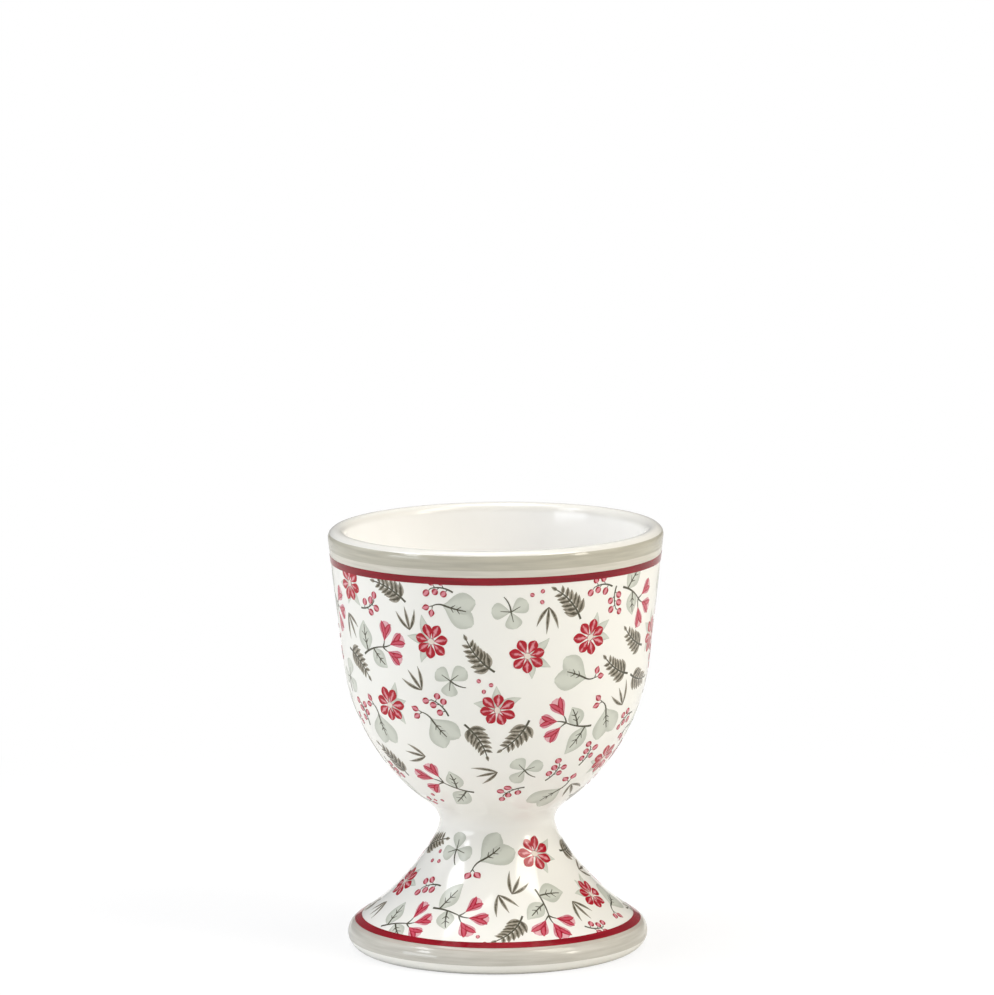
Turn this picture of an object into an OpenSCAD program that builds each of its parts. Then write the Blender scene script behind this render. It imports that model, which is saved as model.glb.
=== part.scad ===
// Footed egg cup in glazed white ware: a thrown bowl and a hollow trumpet foot, stuck together
// with slip, with coloured bands fired into the glaze round the lip and round the foot.
// Millimetres and degrees. The origin is the centre of the standing ring, on the table; +Z is up.

/* [Bowl] */
// Height of the bowl from its base circle to the crest of the lip
bowl_height = 42.6; // [38:0.2:52]
// Outer diameter across the lip
rim_diameter = 50; // [47:0.5:58]
// Lean of the upper wall, in degrees outwards from upright
wall_lean = 6.5; // [3:0.5:9]
// Height above the base circle at which the upper wall turns into the belly
belly_height = 22.5; // [19:0.5:26]
// Thickness of the wall, which is also the width of the rounded lip
wall_thickness = 2.6; // [2:0.1:3.2]
// Height of the hollow's floor above the base circle
floor_thickness = 3.6; // [3:0.1:6]

/* [Foot] */
// Height of the foot from the table to the rim of the dish on its stem
foot_height = 20.6; // [18:0.2:28]
// Greatest diameter of the foot
foot_diameter = 45; // [43:0.5:52]
// Diameter of the stem at its waist
waist_diameter = 17; // [14:0.2:20]
// Height of the straight waist below the dish
waist_height = 0.3; // [0.1:0.1:2]
// Radius of the turn from the waist into the flare
neck_radius = 8; // [6:0.5:10]
// Turn from the waist into the flare, in degrees
neck_turn = 31; // [24:1:36]
// Radius of the rounded outer edge
edge_radius = 2.25; // [1.8:0.05:2.8]
// How far the rounded edge goes on below its widest line, in degrees
edge_wrap = 69; // [50:1:80]
// Thickness of the flared wall
foot_wall = 3; // [2.4:0.1:3.6]
// Width of the flat standing ring
ring_width = 2.2; // [1.6:0.1:3]
// Height of the hollow under the foot, on the axis
foot_hollow_height = 13.4; // [10:0.2:15]

/* [Slip joint] */
// Thickness of the slip between the foot and the bowl
slip_thickness = 0.4; // [0.2:0.1:1]
// How far the bowl's base circle stands out past the waist
base_overhang = 0.3; // [0:0.1:0.8]
// Depth of the shallow dish that centres the bowl on the stem
seat_depth = 0.8; // [0.3:0.1:1.4]

/* [Bands] */
// How far the upper band climbs round the lip, in degrees above the lip's widest line
band_climb = 22; // [0:1:45]
// Height of the grey band below the lip
rim_band_height = 2; // [1:0.1:3]
// Height of the pale margin between the band and the red line
rim_margin_height = 1; // [0.5:0.1:2]
// Height of the red line round the bowl
rim_line_height = 1.15; // [0.5:0.05:2]
// Width of the red line round the foot, along the surface
foot_line_width = 1.25; // [0.5:0.05:2]
// Width of the pale margin below it, along the surface
foot_margin_width = 0.55; // [0.2:0.05:0.8]
// Width of the grey band round the foot's edge, along the surface
foot_band_width = 2.3; // [1:0.1:2.8]
// Depth to which the colours have sunk into the glaze
colour_depth = 0.3; // [0.1:0.05:0.6]

/* [Smoothness] */
// Straight steps in each arc of an outline
arc_steps = 18; // [8:1:30]
// Facets round the cup in the preview
round_facets = 120; // [48:8:240]

/* [Hidden] */

// Colours of the fired pieces
body_white = "#F6F3EA";
slip_white = "#EDE9DE";
band_grey = "#C3BFAF";
margin_grey = "#E4E0D3";
line_red = "#AB2236";

// A unit step from a centre at an angle, which counts up from level and outwards
function step_at(angle) = [cos(angle), sin(angle)];

// Points of an arc from one angle to another, both ends included
function arc(centre, radius, from, to) =
    [for (i = [0 : arc_steps]) centre + radius * step_at(from + (to - from) * i / arc_steps)];

// The same points in the other order
function backwards(points) = [for (i = [len(points) - 1 : -1 : 0]) points[i]];

// The angle that a length along an arc of this radius takes up
function arc_angle(length, radius) = length / radius * 180 / PI;

// Joint: the bowl's base circle lies this high, above the foot's dish and the slip
base_lift = foot_height + slip_thickness;
waist_r = waist_diameter / 2;
base_r = waist_r + base_overhang;

// Bowl: the lip is a full round, and both faces of the upper wall are tangents to it
lip_r = wall_thickness / 2;
lip_centre = [rim_diameter / 2 - lip_r, base_lift + bowl_height - lip_r];
outer_wall_top = lip_centre + lip_r * step_at(-wall_lean);
inner_wall_top = lip_centre - lip_r * step_at(-wall_lean);

// Point of the upper wall's outer face at a height, set in by a depth square to the face
function wall_point(z, depth = 0) =
    [outer_wall_top.x - (outer_wall_top.y - z) * tan(wall_lean) - depth / cos(wall_lean), z];

// Belly: one arc, a tangent to the upper wall, that ends on the base circle
base_point = [base_r, base_lift];
belly_top = wall_point(base_lift + belly_height);
belly_span = belly_top - base_point;
belly_r = belly_span * belly_span / (2 * belly_span * step_at(-wall_lean));
belly_centre = belly_top - belly_r * step_at(-wall_lean);
belly_end_angle = -acos((base_r - belly_centre.x) / belly_r);

// Hollow: a ball on the axis that touches the floor and is a tangent to the inner wall
hollow_floor = base_lift + floor_thickness;
hollow_r = (inner_wall_top.x - (inner_wall_top.y - hollow_floor) * tan(wall_lean))
    / (1 / cos(wall_lean) - tan(wall_lean));
hollow_centre = [0, hollow_floor + hollow_r];

// Heights of the bands on the bowl, from the top down
rim_band_top = lip_centre.y + lip_r * sin(band_climb);
rim_band_low = rim_band_top - rim_band_height;
rim_margin_low = rim_band_low - rim_margin_height;
rim_line_low = rim_margin_low - rim_line_height;

// Foot: the neck turns out of the waist, and the flare is the one arc that is a tangent to both
// the neck and the rounded edge
edge_centre = [foot_diameter / 2 - edge_radius, edge_radius * sin(edge_wrap)];
neck_centre = [waist_r + neck_radius, foot_height - waist_height];
neck_end = neck_centre - neck_radius * step_at(neck_turn);
neck_span = neck_end - edge_centre;
flare_r = (edge_radius * edge_radius - neck_span * neck_span)
    / (2 * (neck_span * step_at(neck_turn) - edge_radius));
flare_centre = neck_end + flare_r * step_at(neck_turn);
flare_angle = atan2(flare_centre.y - edge_centre.y, flare_centre.x - edge_centre.x);

// Angles of the bands on the foot: the line ends where the flare meets the rounded edge
foot_line_angle = flare_angle - arc_angle(foot_line_width, flare_r);
foot_margin_angle = flare_angle - arc_angle(foot_margin_width, edge_radius);
foot_band_angle = foot_margin_angle - arc_angle(foot_band_width, edge_radius);

// Underside: the hollow runs level with the flare and closes in a ball on the axis
ring_outer_r = edge_centre.x + edge_radius * cos(edge_wrap);
ring_inner_r = ring_outer_r - ring_width;
under_r = flare_r + foot_wall;
under_ring_angle = acos((flare_centre.x - ring_inner_r) / under_r);
crown_drop = flare_centre.y - foot_hollow_height;
crown_r = (flare_centre.x * flare_centre.x + crown_drop * crown_drop - under_r * under_r)
    / (2 * (under_r - crown_drop));
crown_centre = [0, foot_hollow_height - crown_r];
crown_angle = atan2(flare_centre.y - crown_centre.y, flare_centre.x);

// Turns an outline round the cup's axis
module turned(outline) {
    rotate_extrude($fn = round_facets) polygon(outline);
}

// Points of the flare's face, at a depth below it, from the waist's end towards the edge
function flare_face(from, to, depth = 0) = [
    for (point = arc([0, 0], flare_r + depth, from, to)) flare_centre - point
];

// The lip's outer side with the upper wall below it, down to a height and at a depth, from the
// bottom up to an angle on the lip
function lip_face(low, angle, depth = 0) = concat(
    [wall_point(low, depth)],
    arc(lip_centre, lip_r - depth, -wall_lean, angle)
);

// Bowl with the groove that the three upper colours fill
module bowl() {
    color(body_white) turned(concat(
        [[0, base_lift - seat_depth]],
        arc(belly_centre, belly_r, belly_end_angle, -wall_lean),
        [wall_point(rim_line_low)],
        lip_face(rim_line_low, band_climb, colour_depth),
        arc(lip_centre, lip_r, band_climb, 180 - wall_lean),
        arc(hollow_centre, hollow_r, -wall_lean, -90)
    ));
}

// Foot with the groove that the three lower colours fill, hollow and open underneath
module foot() {
    color(body_white) turned(concat(
        [[0, foot_height - seat_depth], [waist_r, foot_height]],
        [for (point = arc([0, 0], neck_radius, 0, neck_turn)) neck_centre - point],
        flare_face(neck_turn, foot_line_angle),
        flare_face(foot_line_angle, flare_angle, colour_depth),
        arc(edge_centre, edge_radius - colour_depth, flare_angle, foot_band_angle),
        arc(edge_centre, edge_radius, foot_band_angle, -edge_wrap),
        [[ring_inner_r, 0]],
        [for (point = arc([0, 0], under_r, under_ring_angle, crown_angle)) flare_centre - point],
        arc(crown_centre, crown_r, crown_angle, 90)
    ));
}

// Fired slip that fills the dish between the stem and the bowl, wiped off flush all round
module slip_joint() {
    color(slip_white) turned([
        [0, foot_height - seat_depth],
        [waist_r, foot_height],
        base_point,
        [0, base_lift - seat_depth]
    ]);
}

// Grey band on the lip's outer side
module rim_band() {
    color(band_grey) turned(concat(
        lip_face(rim_band_low, band_climb),
        backwards(lip_face(rim_band_low, band_climb, colour_depth))
    ));
}

// A colour on the straight part of the upper wall, between two heights
module wall_colour(low, high) {
    turned([
        wall_point(low), wall_point(high), wall_point(high, colour_depth), wall_point(low, colour_depth)
    ]);
}

// Pale margin under the grey band
module rim_margin() {
    color(margin_grey) wall_colour(rim_margin_low, rim_band_low);
}

// Red line round the bowl
module rim_line() {
    color(line_red) wall_colour(rim_line_low, rim_margin_low);
}

// Red line at the end of the foot's flare
module foot_line() {
    color(line_red) turned(concat(
        flare_face(foot_line_angle, flare_angle),
        backwards(flare_face(foot_line_angle, flare_angle, colour_depth))
    ));
}

// A colour on the foot's rounded edge, between two angles
module edge_colour(from, to) {
    turned(concat(
        arc(edge_centre, edge_radius, from, to),
        arc(edge_centre, edge_radius - colour_depth, to, from)
    ));
}

// Pale margin under the foot's red line
module foot_margin() {
    color(margin_grey) edge_colour(flare_angle, foot_margin_angle);
}

// Grey band round the foot's edge
module foot_band() {
    color(band_grey) edge_colour(foot_margin_angle, foot_band_angle);
}

bowl();
foot();
slip_joint();
rim_band();
rim_margin();
rim_line();
foot_line();
foot_margin();
foot_band();
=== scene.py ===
"""Looks of the footed egg cup: glazed ware, fired bands and a scattered flower transfer."""

import logging
import math
from dataclasses import dataclass, field
from enum import Enum
from functools import cached_property
from typing import Callable, ClassVar

import bpy
import numpy as np
from bpy.types import Material, Node, NodeSocket, NodeTree, Object
from mathutils import Matrix, Vector


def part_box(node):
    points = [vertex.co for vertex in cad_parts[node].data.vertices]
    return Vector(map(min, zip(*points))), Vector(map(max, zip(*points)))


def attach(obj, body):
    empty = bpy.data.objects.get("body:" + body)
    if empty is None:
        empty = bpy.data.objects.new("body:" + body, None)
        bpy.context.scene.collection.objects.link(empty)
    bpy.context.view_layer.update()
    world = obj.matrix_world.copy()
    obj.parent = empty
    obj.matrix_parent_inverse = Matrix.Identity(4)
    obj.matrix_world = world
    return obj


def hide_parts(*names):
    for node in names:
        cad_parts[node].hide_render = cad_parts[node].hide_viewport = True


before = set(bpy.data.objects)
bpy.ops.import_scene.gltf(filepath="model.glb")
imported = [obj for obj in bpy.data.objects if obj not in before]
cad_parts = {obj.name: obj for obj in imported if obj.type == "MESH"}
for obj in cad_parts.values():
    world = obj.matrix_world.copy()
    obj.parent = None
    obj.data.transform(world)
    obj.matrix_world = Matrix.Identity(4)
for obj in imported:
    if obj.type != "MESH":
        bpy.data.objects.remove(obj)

MM = 0.001
BODY = "root"
PRINT_MAP = "print"
UP, DOWN = math.pi / 2, -math.pi / 2
WHITE = (1.0, 1.0, 1.0, 1.0)
# The Mix node's colour sockets, by number because their names repeat: two in, one out.
MIX_A, MIX_B, MIX_OUT = 6, 7, 2
# Height of the first kind of printed mark over the glaze, and of each kind over the one before.
FIRST_FILM, NEXT_FILM = 0.014, 0.004
log = logging.getLogger("egg_cup")


def linear(colour: str) -> tuple[float, float, float, float]:
    """Turns an sRGB hex colour into the linear values that the shaders take.

    Args:
        colour: six hex digits, such as "F6F3EA".

    Returns:
        Linear red, green and blue, and an alpha of 1. Each channel c in 0 to 1 becomes c / 12.92
        where it is dark, and ((c + 0.055) / 1.055) to the power 2.4 elsewhere.
    """
    channels = [int(colour[i : i + 2], 16) / 255 for i in (0, 2, 4)]
    red, green, blue = (c / 12.92 if c <= 0.04045 else ((c + 0.055) / 1.055) ** 2.4 for c in channels)
    return red, green, blue, 1.0


def smooth(x: np.ndarray, low: float, high: float) -> np.ndarray:
    """Rises from 0 at low to 1 at high as 3t squared less 2t cubed."""
    t = np.clip((x - low) / (high - low), 0.0, 1.0)
    return t * t * (3 - 2 * t)


def unit(angle: float | np.ndarray) -> np.ndarray:
    """Unit step at an angle in radians, counted up from level and outwards."""
    return np.stack([np.cos(angle), np.sin(angle)], -1)


def arc(centre: np.ndarray, radius: float, start: float, end: float, step: float = 0.08) -> np.ndarray:
    """Points of an arc.

    Args:
        centre: radius and height of the arc's centre, in mm.
        radius: the arc's radius, in mm.
        start: first angle, in radians.
        end: last angle, in radians.
        step: greatest distance between points, in mm.

    Returns:
        An (n, 2) array: the centre plus the radius times the unit step at evenly spaced angles.
    """
    count = max(3, math.ceil(abs(end - start) * radius / step))
    return np.asarray(centre) + radius * unit(np.linspace(start, end, count))


@dataclass(frozen=True)
class Face:
    """A line on the cup's outside, from low to high, that goes round the axis."""

    points: np.ndarray

    @cached_property
    def lengths(self) -> np.ndarray:
        """Distance along the line to each point, in mm."""
        steps = np.hypot(*np.diff(self.points, axis=0).T)
        return np.concatenate([[0.0], np.cumsum(steps)])

    @cached_property
    def normals(self) -> np.ndarray:
        """Outward unit normals.

        Returns:
            An (n, 2) array: the line's direction at each point, turned a quarter clockwise.
        """
        slope = np.gradient(self.points, self.lengths, axis=0)
        slope /= np.hypot(slope[:, 0], slope[:, 1])[:, None]
        return np.stack([slope[:, 1], -slope[:, 0]], -1)

    def at(self, along: np.ndarray, lift: float | np.ndarray = 0.0) -> tuple[np.ndarray, np.ndarray]:
        """Radius and height on the face.

        Args:
            along: distances along the line, in mm.
            lift: how far out from the face, in mm.

        Returns:
            Arrays of radii and heights: the point at that distance plus lift times its normal.
        """
        r, z, nr, nz = (
            np.interp(along, self.lengths, column)
            for column in (*self.points.T, *self.normals.T)
        )
        return r + lift * nr, z + lift * nz

    def along_at_height(self, z: float) -> float:
        """Distance along the line at which it first reaches a height, in mm."""
        return float(np.interp(z, self.points[:, 1], self.lengths))


@dataclass
class CupForm:
    """The cup's outline in mm, from the frame's own boxes and the sizes that they don't show."""

    wall_lean: float = math.radians(6.5)  # lean of the bowl's wall off upright
    belly_height: float = 22.5  # from the bowl's base to the top of its belly
    wall: float = 2.6  # thickness of the bowl's wall
    floor: float = 3.6  # thickness of the bowl's floor
    overhang: float = 0.3  # how far the bowl's base stands out past the stem
    waist: float = 0.3  # from the stem's top down to its narrowest
    neck_r: float = 8.0  # radius of the hollow curve under the waist
    neck_turn: float = math.radians(31)  # turn of that curve
    edge_r: float = 2.25  # radius of the foot's rounded edge
    edge_wrap: float = math.radians(69)  # how far the edge rounds under, below level
    foot_wall: float = 3.0  # thickness of the flare
    ring_width: float = 2.2  # width of the standing ring
    hollow_top: float = 13.4  # height of the foot's hollow
    seat_depth: float = 0.8  # depth of the dish that the bowl sits in, on the axis
    bare_crease: float = 1.3  # width that the print leaves free on each side of the crease
    lip_tilt: float = 0.16  # rise of the lip's plane at the right, and fall at the left
    tilt_from: float = 0.6  # share of the height at which that tilt starts
    oval: float = 0.0012  # share by which the cup is out of round in two lobes
    oval_turn: float = 0.6  # where the first of them stands, in radians
    three_lobed: float = 0.0007  # the same in three lobes
    three_turn: float = 2.0  # where the first of these stands
    low: dict[str, Vector] = field(init=False)
    high: dict[str, Vector] = field(init=False)

    WALL_STEPS: ClassVar[int] = 200  # points on the straight wall
    LIP_STEP: ClassVar[float] = 0.03  # from point to point on the lip
    EDGE_STEP: ClassVar[float] = 0.04  # the same on the foot's edge

    def __post_init__(self) -> None:
        """Reads every node's box from the frame and works out the arcs."""
        boxes = {name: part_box(name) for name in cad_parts}
        self.low = {name: box[0] / MM for name, box in boxes.items()}
        self.high = {name: box[1] / MM for name, box in boxes.items()}
        self.rim_r = self.high["rim_band"].y
        self.top = self.high["bowl"].z
        self.foot_top = self.high["foot"].z
        self.base_r = self.high["slip_joint"].y
        self.base_z = self.high["slip_joint"].z
        self.foot_r = self.high["foot_band"].y
        self.lip_r = self.wall / 2
        self.lip = np.array([self.rim_r - self.lip_r, self.top - self.lip_r])
        self._work_out_bowl()
        self._work_out_foot()

    def _work_out_bowl(self) -> None:
        """Finds the arcs of the belly and of the hollow.

        The belly's arc touches the leaning wall and ends on the base circle: its radius is half
        the square of the span between them, over the span's part along the wall's normal. The
        hollow is a ball that touches the leaning inner wall and the floor.
        """
        lean = unit(-self.wall_lean)
        self.wall_top = self.lip + self.lip_r * lean
        drop = self.wall_top[1] - (self.base_z + self.belly_height)
        belly_top = self.wall_top - drop * np.array([math.tan(self.wall_lean), 1.0])
        base = np.array([self.base_r, self.base_z])
        span = belly_top - base
        self.belly_r = float(span @ span / (2 * span @ lean))
        self.belly = belly_top - self.belly_r * lean
        self.belly_start = -math.acos((self.base_r - self.belly[0]) / self.belly_r)
        inner = self.lip - self.lip_r * lean
        floor = self.base_z + self.floor
        slant = math.tan(self.wall_lean)
        foot_of_wall = inner[0] - (inner[1] - floor) * slant
        self.hollow_r = foot_of_wall / (1 / math.cos(self.wall_lean) - slant)
        self.hollow = np.array([0.0, floor + self.hollow_r])

    def _work_out_foot(self) -> None:
        """Finds the arcs of the neck, the flare and the rounded edge.

        The flare's arc goes on from the neck's end and touches the edge from outside, so their
        middles are as far apart as the two radii together.
        """
        self.waist_r = self.base_r - self.overhang
        self.edge = np.array([self.foot_r - self.edge_r, self.edge_r * math.sin(self.edge_wrap)])
        self.neck = np.array([self.waist_r + self.neck_r, self.foot_top - self.waist])
        neck_end = self.neck - self.neck_r * unit(self.neck_turn)
        span = neck_end - self.edge
        turn = unit(self.neck_turn)
        self.flare_r = float((self.edge_r**2 - span @ span) / (2 * (span @ turn - self.edge_r)))
        self.flare = neck_end + self.flare_r * turn
        self.flare_turn = math.atan2(*(self.flare - self.edge)[::-1])

    @cached_property
    def bowl_face(self) -> Face:
        """Outside of the bowl.

        Returns:
            The line from the base circle over the belly's arc and the straight wall to the lip's
            crest, where the lip's arc lies level.
        """
        belly = arc(self.belly, self.belly_r, self.belly_start, -self.wall_lean)
        wall = np.linspace(belly[-1], self.wall_top, self.WALL_STEPS)
        lip = arc(self.lip, self.lip_r, -self.wall_lean, UP, self.LIP_STEP)
        return Face(np.concatenate([belly, wall[1:-1], lip]))

    @cached_property
    def foot_face(self) -> Face:
        """Outside of the foot.

        Returns:
            The line from the standing ring round the edge's arc, up the flare's and the neck's
            hollow arcs to the rim of the dish.
        """
        edge = arc(self.edge, self.edge_r, -self.edge_wrap, self.flare_turn, self.EDGE_STEP)
        flare = self.flare - arc(np.zeros(2), self.flare_r, self.flare_turn, self.neck_turn)
        neck = self.neck - arc(np.zeros(2), self.neck_r, self.neck_turn, 0.0)
        rim = [[self.waist_r, self.foot_top]]
        return Face(np.concatenate([edge, flare[1:], neck[1:], rim]))

    def hand(self, points: np.ndarray) -> np.ndarray:
        """Gives points the slight unevenness of hand-finished ware.

        Args:
            points: (..., 3) array in mm.

        Returns:
            The points, moved. Sideways they swell by small waves of two and three lobes round the
            axis, which fade to nothing at the table. The lip's plane tips by a fraction of a
            millimetre from left to right, which fades out down the wall.
        """
        x, y, z = np.moveaxis(points, -1, 0)
        angle = np.arctan2(y, x)
        share = np.clip(z / self.top, 0.0, 1.0)
        two = self.oval * np.cos(2 * angle + self.oval_turn)
        three = self.three_lobed * np.cos(3 * angle + self.three_turn)
        swell = 1 + share * (two + three)
        tip = self.lip_tilt * smooth(z, self.tilt_from * self.top, self.top) * x / self.rim_r
        return np.stack([x * swell, y * swell, z + tip], -1)


def turned(radius: np.ndarray, height: np.ndarray, angle: np.ndarray) -> np.ndarray:
    """Points round the axis: radius times the cosine and sine of the angle, and the height."""
    radius, height, angle = np.broadcast_arrays(radius, height, angle)
    return np.stack([radius * np.cos(angle), radius * np.sin(angle), height], -1)


def grid_quads(rows: int, columns: int, wrap_rows: bool = False) -> np.ndarray:
    """Corner numbers of the quads of a grid whose columns join up round the end.

    Args:
        rows: number of rows of points.
        columns: number of points in each row.
        wrap_rows: True if the last row joins the first.

    Returns:
        An (n, 4) array. Quad (i, j) has the corners (i, j), (i, j + 1), (i + 1, j + 1), (i + 1, j).
    """
    i, j = np.meshgrid(np.arange(rows - (not wrap_rows)), np.arange(columns), indexing="ij")
    below, beside = (i + 1) % rows, (j + 1) % columns
    corners = [i * columns + j, i * columns + beside, below * columns + beside, below * columns + j]
    return np.stack(corners, -1).reshape(-1, 4)


def turned_skin(form: CupForm, outline: np.ndarray, around: int) -> tuple[np.ndarray, list]:
    """Turns an outline that starts and ends on the axis into a closed skin.

    Args:
        form: the cup's form, for its unevenness.
        outline: (n, 2) array of radius and height in mm, from one pole to the other.
        around: number of points round the axis.

    Returns:
        Points and faces: each inner outline point goes round the axis at equal angles, and each
        pole is one point in a fan of triangles.
    """
    angle = np.linspace(0, math.tau, around, endpoint=False)
    ring = outline[1:-1]
    body = turned(ring[:, :1], ring[:, 1:], angle[None])
    poles = turned(outline[[0, -1], 0], outline[[0, -1], 1], np.zeros(2))
    points = form.hand(np.concatenate([body.reshape(-1, 3), poles]))
    first = np.arange(around)
    beside = (first + 1) % around
    last = (len(ring) - 1) * around
    low = np.stack([beside, first, np.full(around, len(points) - 2)], -1)
    high = np.stack([last + first, last + beside, np.full(around, len(points) - 1)], -1)
    faces = grid_quads(len(ring), around).tolist() + low.tolist() + high.tolist()
    return points, faces


@dataclass
class Piece:
    """A finished mesh on the cup, with its finish and what it stands for."""

    name: str
    points: np.ndarray  # (n, 3), in mm
    faces: list[list[int]]
    material: Material
    slot: str  # the record's slot
    stands_for: tuple[str, ...] = ()  # the CAD nodes that it replaces
    uv: np.ndarray | None = None  # each point's place on the print map
    sharp_above: float = math.radians(40)  # edges that turn more stay sharp

    def build(self) -> Object:
        """Makes the object from its points in mm and lets it ride on the cup.

        Returns:
            The object, which sits at the origin with its place in its mesh.
        """
        mesh = bpy.data.meshes.new(self.name)
        mesh.from_pydata((self.points * MM).tolist(), [], self.faces)
        if self.uv is not None:
            corner = np.empty(len(mesh.loops), np.int32)
            mesh.loops.foreach_get("vertex_index", corner)
            layer = mesh.uv_layers.new(name=PRINT_MAP)
            layer.data.foreach_set("uv", self.uv[corner].astype(np.float32).ravel())
        mesh.shade_smooth()
        mesh.set_sharp_from_angle(angle=self.sharp_above)
        mesh.materials.append(self.material)
        mesh.validate()
        obj = bpy.data.objects.new(self.name, mesh)
        bpy.context.scene.collection.objects.link(obj)
        self.slot
        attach(obj, BODY)
        if self.stands_for:
            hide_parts(*self.stands_for)
        log.info("%s: %d points, %d faces", self.name, len(self.points), len(self.faces))
        return obj


def add_node(
    tree: NodeTree,
    kind: str,
    inputs: dict[str | int, object] | None = None,
    **settings: object,
) -> Node:
    """Adds a node with its settings and links.

    Args:
        tree: the node tree.
        kind: Blender's name for the node, without ShaderNode.
        inputs: a value or an output socket for each input, by name or number.
        settings: the node's own properties.

    Returns:
        The new node.
    """
    node = tree.nodes.new("ShaderNode" + kind)
    for key, value in settings.items():
        setattr(node, key, value)
    for key, value in (inputs or {}).items():
        if isinstance(value, NodeSocket):
            tree.links.new(value, node.inputs[key])
        else:
            node.inputs[key].default_value = value
    return node


def new_tree(name: str) -> tuple[Material, NodeTree]:
    """A material with an empty node tree.

    Args:
        name: the material's name.

    Returns:
        The material and its tree.
    """
    material = bpy.data.materials.new(name)
    material.use_nodes = True
    material.node_tree.nodes.clear()
    return material, material.node_tree


def per_mm(size: float) -> float:
    """Scale of a noise whose features are this many millimetres apart, on metre coordinates."""
    return 1.0 / (size * MM)


@dataclass(frozen=True)
class ClearGlaze:
    """Clear glaze, poured on and melted to a glassy skin.

    It gives the eye sharp window lights, which spread a little on its duller patches and waver
    over a faint orange peel.
    """

    gloss: float = 0.08  # roughness of the bright patches
    dull: float = 0.16  # roughness of the dull ones
    dull_from: float = 0.35  # value of the noise at which a patch starts to dull
    dull_full: float = 0.75  # value at which it is dullest
    patch: float = 9.0  # width of a patch, in mm
    ripple: float = 2.4  # width of the orange peel's ripples, in mm
    ripple_depth: float = 0.012  # their height, in mm
    ripple_share: float = 0.35  # share of that height that shades the face
    ior: float = 1.5
    shine: float = 0.5  # specular level

    def dress(self, tree: NodeTree, colour: NodeSocket, coords: NodeSocket) -> None:
        """Puts the glaze over a colour and ends the tree.

        Roughness runs between its two values by a noise as wide as the patches, and the bump is a
        noise as wide as the ripples.

        Args:
            tree: the material's node tree.
            colour: the socket that gives the colour under the glaze.
            coords: the object coordinates.
        """
        patches = add_node(tree, "TexNoise", {"Vector": coords, "Scale": per_mm(self.patch), "Detail": 3.0})
        ends = {"From Min": self.dull_from, "From Max": self.dull_full}
        ends |= {"To Min": self.gloss, "To Max": self.dull}
        rough = add_node(tree, "MapRange", {"Value": patches.outputs["Fac"], **ends})
        peel = add_node(tree, "TexNoise", {"Vector": coords, "Scale": per_mm(self.ripple), "Detail": 1.0})
        depth = {"Strength": self.ripple_share, "Distance": self.ripple_depth * MM}
        bump = add_node(tree, "Bump", {"Height": peel.outputs["Fac"], **depth})
        shader = add_node(
            tree,
            "BsdfPrincipled",
            {
                "Base Color": colour,
                "Roughness": rough.outputs["Result"],
                "Normal": bump.outputs["Normal"],
                "IOR": self.ior,
                "Specular IOR Level": self.shine,
            },
        )
        add_node(tree, "OutputMaterial", {"Surface": shader.outputs["BSDF"]})


@dataclass(frozen=True)
class GlazedPorcelain:
    """White porcelain, slip cast, fired and glazed.

    It gives the eye a warm white that is a little deeper in soft clouds, where the glaze pooled,
    and greyer on the lip's crest, where it ran thin.
    """

    name: str = "glazed porcelain"
    body: str = "F8F7F2"
    pooled: str = "F1F0EB"
    cloud: float = 14.0  # width of the clouds, in mm
    thin: str = "E2E0DA"
    crest: float = 1.0e3  # height of the lip's crest, in mm; far over a piece that has no lip
    thin_from: float = 1.5  # how far under the crest the thin glaze starts, in mm
    thin_full: float = 0.5  # how far under it the thin glaze is complete, in mm
    glaze: ClearGlaze = ClearGlaze()

    def material(self) -> Material:
        """Cloudy white under clear glaze.

        Returns:
            The material. Two whites mix by a noise as wide as the clouds, and the result mixes to
            the thin glaze's colour by a smooth step on the height.
        """
        material, tree = new_tree(self.name)
        coords = add_node(tree, "TexCoord").outputs["Object"]
        cloud = add_node(tree, "TexNoise", {"Vector": coords, "Scale": per_mm(self.cloud), "Detail": 4.0})
        tones = {MIX_A: linear(self.body), MIX_B: linear(self.pooled)}
        white = add_node(tree, "Mix", {"Factor": cloud.outputs["Fac"], **tones}, data_type="RGBA")
        height = add_node(tree, "SeparateXYZ", {"Vector": coords}).outputs["Z"]
        low, high = ((self.crest - below) * MM for below in (self.thin_from, self.thin_full))
        span = {"From Min": low, "From Max": high}
        near = add_node(tree, "MapRange", {"Value": height, **span}, interpolation_type="SMOOTHSTEP")
        tones = {MIX_A: white.outputs[MIX_OUT], MIX_B: linear(self.thin)}
        worn = add_node(tree, "Mix", {"Factor": near.outputs["Result"], **tones}, data_type="RGBA")
        self.glaze.dress(tree, worn.outputs[MIX_OUT], coords)
        return material


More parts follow.
